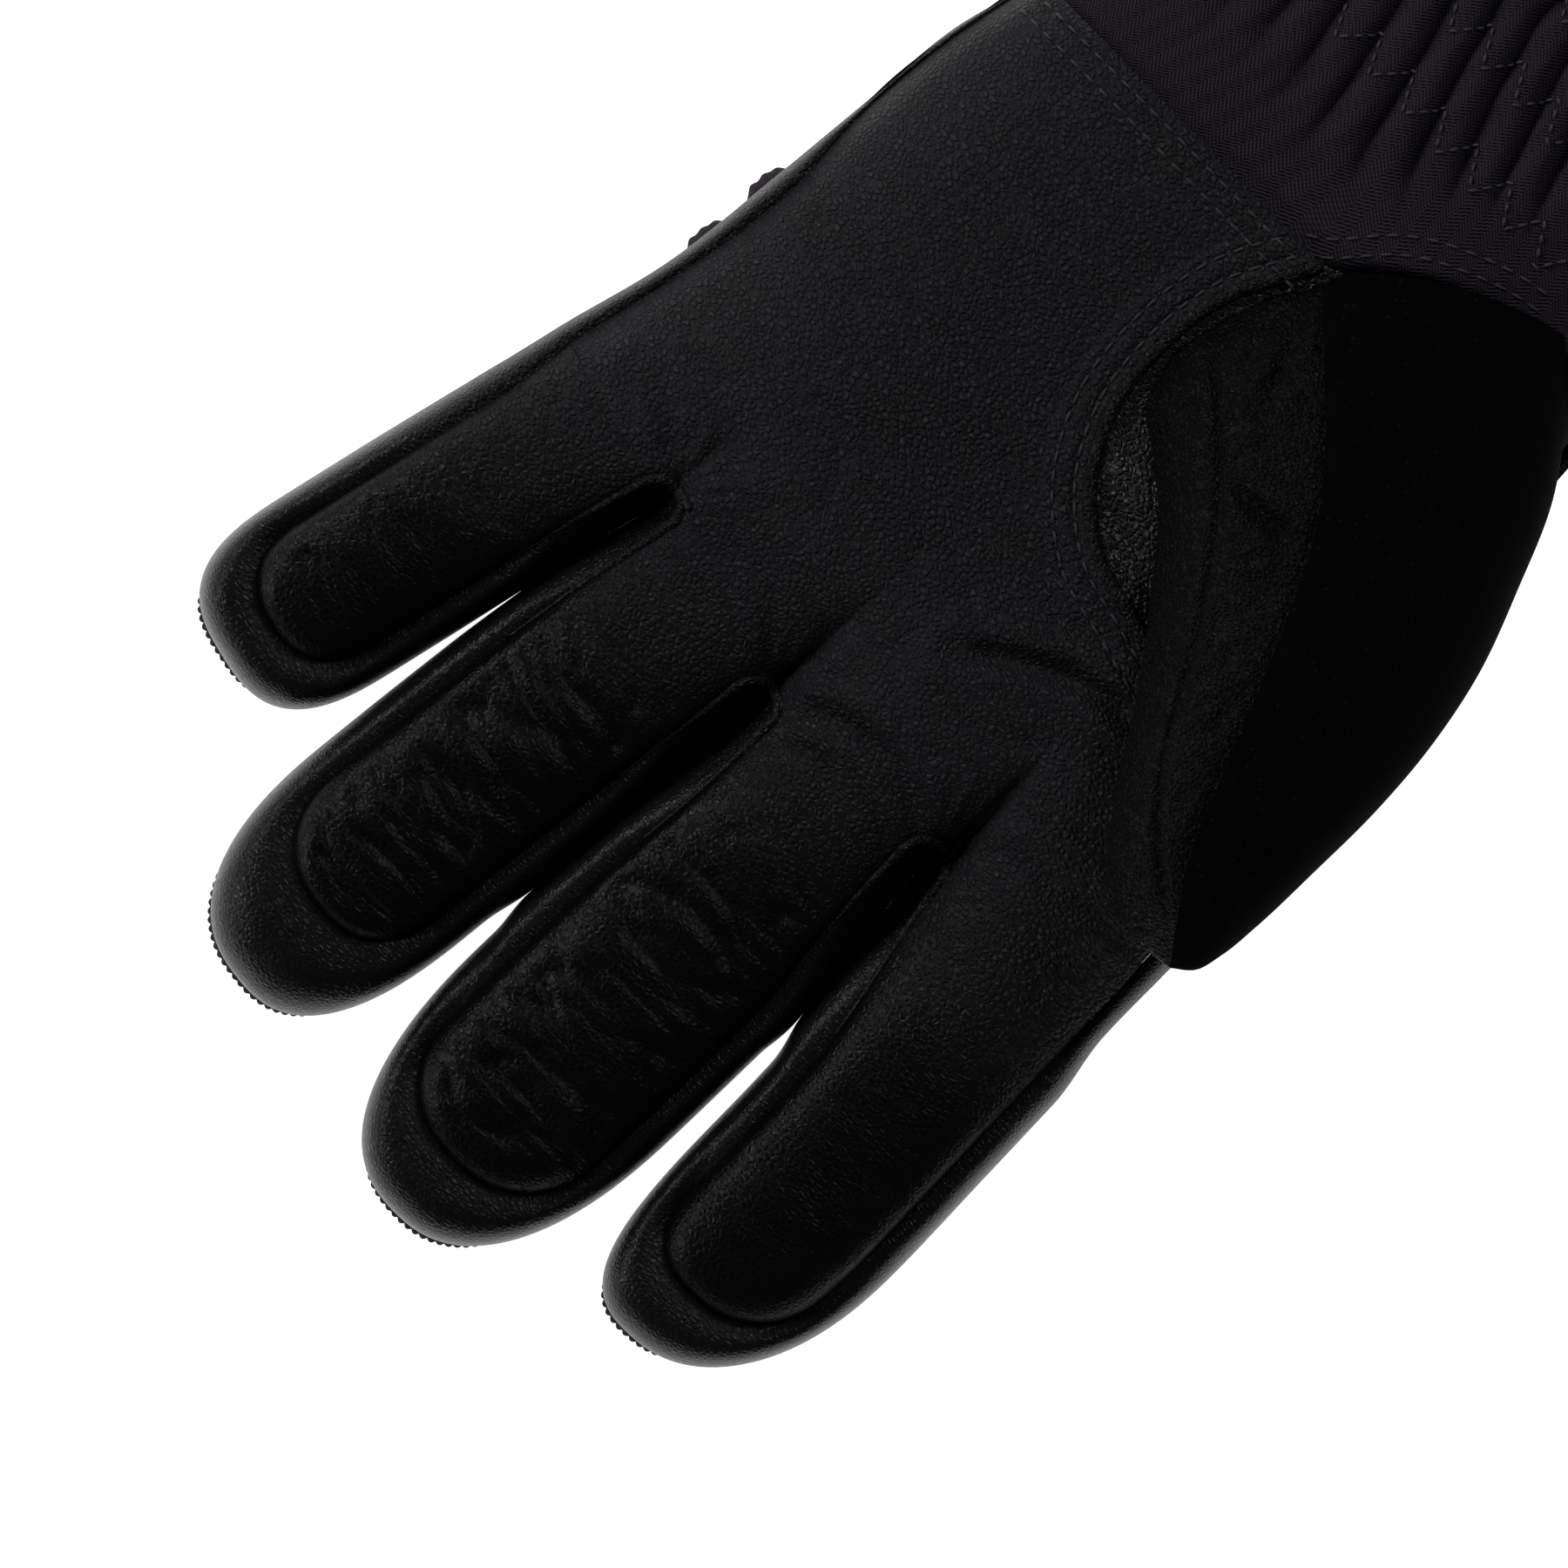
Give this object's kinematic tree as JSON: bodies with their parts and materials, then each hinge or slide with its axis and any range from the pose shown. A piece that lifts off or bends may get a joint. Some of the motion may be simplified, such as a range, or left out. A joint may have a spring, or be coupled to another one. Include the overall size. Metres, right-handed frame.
{
  "type": "ski glove",
  "caption": "Insulated left-hand ski glove in leather with a suede thumb patch and a gathered fabric cuff, lying palm up; fingers, thumb and wrist bend.",
  "frame": {"origin": "on the flat back of the hand, under the middle of the palm", "axes": "+X from the wrist to the fingertips, +Y towards the thumb side, +Z out of the palm"},
  "size_m": [0.3185, 0.1402, 0.0585],
  "materials": {
    "leather": "fine-grained black leather, semi-matt",
    "suede": "black suede, napped",
    "fabric": "charcoal herringbone weave",
    "elastic": "woven elastic and webbing",
    "fleece": "brushed lining and wadding"
  },
  "bodies": {
    "hand": {"palm_panel": "leather", "back_panel": "fabric", "little_side_panel": "leather", "index_side_panel": "leather", "wrist_front_panel": "fabric", "wrist_back_panel": "fabric", "wrist_little_side": "fabric", "wrist_thumb_side": "fabric", "thumb_gusset": "leather", "palm_lining": "fleece", "back_insulation": "fleece", "knuckle_elastic": "elastic", "wrist_elastic": "elastic"},
    "cuff": {"cuff_front_panel": "fabric", "cuff_back_panel": "fabric", "cuff_little_side": "fabric", "cuff_thumb_side": "fabric", "cuff_elastic": "elastic", "cuff_front_lining": "fleece", "cuff_back_lining": "fleece", "cuff_hem_binding": "fabric", "pull_loop": "elastic"},
    "little_base": {"little_base_front": "leather", "little_base_back": "fabric", "little_base_inner_side": "leather", "little_base_outer_side": "leather"},
    "little_tip": {"little_tip_front": "leather", "little_tip_back": "fabric", "little_tip_wrap": "leather"},
    "ring_base": {"ring_base_front": "leather", "ring_base_back": "fabric", "ring_base_inner_side": "leather", "ring_base_outer_side": "leather"},
    "ring_tip": {"ring_tip_front": "leather", "ring_tip_back": "fabric", "ring_tip_wrap": "leather"},
    "middle_base": {"middle_base_front": "leather", "middle_base_back": "fabric", "middle_base_inner_side": "leather", "middle_base_outer_side": "leather"},
    "middle_tip": {"middle_tip_front": "leather", "middle_tip_back": "fabric", "middle_tip_wrap": "leather"},
    "index_base": {"index_base_front": "leather", "index_base_back": "fabric", "index_base_inner_side": "leather", "index_base_outer_side": "leather"},
    "index_tip": {"index_tip_front": "leather", "index_tip_back": "fabric", "index_tip_wrap": "leather"},
    "thumb_base": {"thumb_base_inner_panel": "leather", "thumb_base_middle_strip": "leather", "thumb_base_suede_patch": "suede", "thumb_base_outer_side": "suede"},
    "thumb_tip": {"thumb_tip_suede_patch": "suede", "thumb_tip_under_panel": "leather", "thumb_tip_wrap": "leather"}
  },
  "joints": [
    {"name": "wrist_flex", "type": "hinge", "parent": "hand", "child": "cuff", "pos_m": [-0.092, -0.003, 0.017], "axis": [0, 1, 0], "range_deg": [-15, 35], "stiffness_Nm_per_rad": 0.8},
    {"name": "little_base_flex", "type": "hinge", "parent": "hand", "child": "little_base", "pos_m": [0.0429, -0.0499, 0.013], "axis": [-0.1564, -0.9877, 0], "range_deg": [0, 55], "stiffness_Nm_per_rad": 0.02},
    {"name": "little_tip_flex", "type": "hinge", "parent": "little_base", "child": "little_tip", "pos_m": [0.0666, -0.05365, 0.013], "axis": [-0.1564, -0.9877, 0], "range_deg": [0, 55], "stiffness_Nm_per_rad": 0.01},
    {"name": "ring_base_flex", "type": "hinge", "parent": "hand", "child": "ring_base", "pos_m": [0.048, -0.0196, 0.013], "axis": [-0.0523, -0.9986, 0], "range_deg": [0, 55], "stiffness_Nm_per_rad": 0.02},
    {"name": "ring_tip_flex", "type": "hinge", "parent": "ring_base", "child": "ring_tip", "pos_m": [0.08295, -0.02143, 0.013], "axis": [-0.0523, -0.9986, 0], "range_deg": [0, 55], "stiffness_Nm_per_rad": 0.01},
    {"name": "middle_base_flex", "type": "hinge", "parent": "hand", "child": "middle_base", "pos_m": [0.0505, 0.0126, 0.013], "axis": [0.0523, -0.9986, 0], "range_deg": [0, 55], "stiffness_Nm_per_rad": 0.02},
    {"name": "middle_tip_flex", "type": "hinge", "parent": "middle_base", "child": "middle_tip", "pos_m": [0.08645, 0.01448, 0.013], "axis": [0.0523, -0.9986, 0], "range_deg": [0, 55], "stiffness_Nm_per_rad": 0.01},
    {"name": "index_base_flex", "type": "hinge", "parent": "hand", "child": "index_base", "pos_m": [0.0519, 0.0484, 0.013], "axis": [0.1132, -0.9936, 0], "range_deg": [0, 55], "stiffness_Nm_per_rad": 0.02},
    {"name": "index_tip_flex", "type": "hinge", "parent": "index_base", "child": "index_tip", "pos_m": [0.08071, 0.05168, 0.013], "axis": [0.1132, -0.9936, 0], "range_deg": [0, 55], "stiffness_Nm_per_rad": 0.01},
    {"name": "thumb_root_lift", "type": "hinge", "parent": "hand", "child": "thumb_base", "pos_m": [-0.055, 0.022, 0.0343], "axis": [0.4617, -0.887, 0], "range_deg": [0, 25], "stiffness_Nm_per_rad": 0.05},
    {"name": "thumb_tip_flex", "type": "hinge", "parent": "thumb_base", "child": "thumb_tip", "pos_m": [-0.00888, 0.04601, 0.045], "axis": [0, 0, -1], "range_deg": [0, 45], "stiffness_Nm_per_rad": 0.02}
  ]
}
